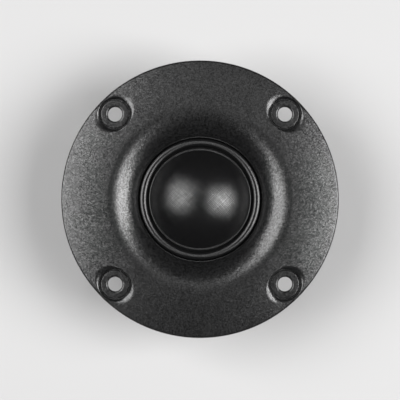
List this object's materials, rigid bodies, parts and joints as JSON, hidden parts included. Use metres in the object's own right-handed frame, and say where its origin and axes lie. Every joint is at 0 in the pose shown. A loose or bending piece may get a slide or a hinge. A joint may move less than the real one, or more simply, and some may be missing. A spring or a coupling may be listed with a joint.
{
  "type": "dome tweeter",
  "caption": "Round black flush-mount dome tweeter with a flared mouth, a woven soft dome on a small roll, screw holes in oval recesses, and a rear chamber with blade terminals.",
  "frame": {"origin": "centre of the flange's rear face, where it lies on the panel", "axes": "+Z out of the dome, along its axis; the terminals are on the -Y side"},
  "size_m": [0.072, 0.072, 0.0313],
  "materials": {
    "black_plastic": "fine moulded grain",
    "black_foam": "closed-cell foam",
    "black_silk": "coated woven silk",
    "former_foil": "thin foil",
    "copper": "bare or enamelled copper",
    "braided_lead": "fine braid",
    "brass": "stamped",
    "zinc_steel": "zinc plated",
    "nickel": "nickel plated",
    "felt": "soft felt",
    "screw_steel": "blackened",
    "housing_plastic": "satin moulded",
    "seal_rubber": "soft",
    "board_laminate": "pressed laminate",
    "tin_plate": "tin plated",
    "red_insulation": "smooth insulation",
    "black_insulation": "smooth insulation",
    "solder": "bright solder"
  },
  "bodies": {
    "housing": {"faceplate": "black_plastic", "flange_gasket": "black_foam", "surround": "black_silk", "diaphragm_ring": "black_plastic", "lead_wire_positive": "braided_lead", "lead_wire_negative": "braided_lead", "solder_tags": "brass", "top_plate": "zinc_steel", "magnet_ring": "nickel", "yoke": "zinc_steel", "copper_cap": "copper", "pole_felt": "felt", "motor_screws": "screw_steel", "rear_housing": "housing_plastic", "housing_seal": "seal_rubber", "chamber_wadding": "felt", "housing_screws": "screw_steel", "terminal_board": "board_laminate", "terminal_positive": "tin_plate", "terminal_negative": "tin_plate", "terminal_rivets": "tin_plate", "feed_wire_positive": "red_insulation", "feed_wire_negative": "black_insulation", "solder_joints": "solder"},
    "diaphragm": {"dome": "black_silk", "voice_coil_former": "former_foil", "voice_coil_winding": "copper"}
  },
  "joints": [
    {"name": "diaphragm_travel", "type": "slide", "parent": "housing", "child": "diaphragm", "axis": [0, 0, 1], "range_m": [-0.0005, 0.0005], "stiffness_N_per_m": 10000, "deforming": ["surround", "lead_wire_positive", "lead_wire_negative"]}
  ]
}
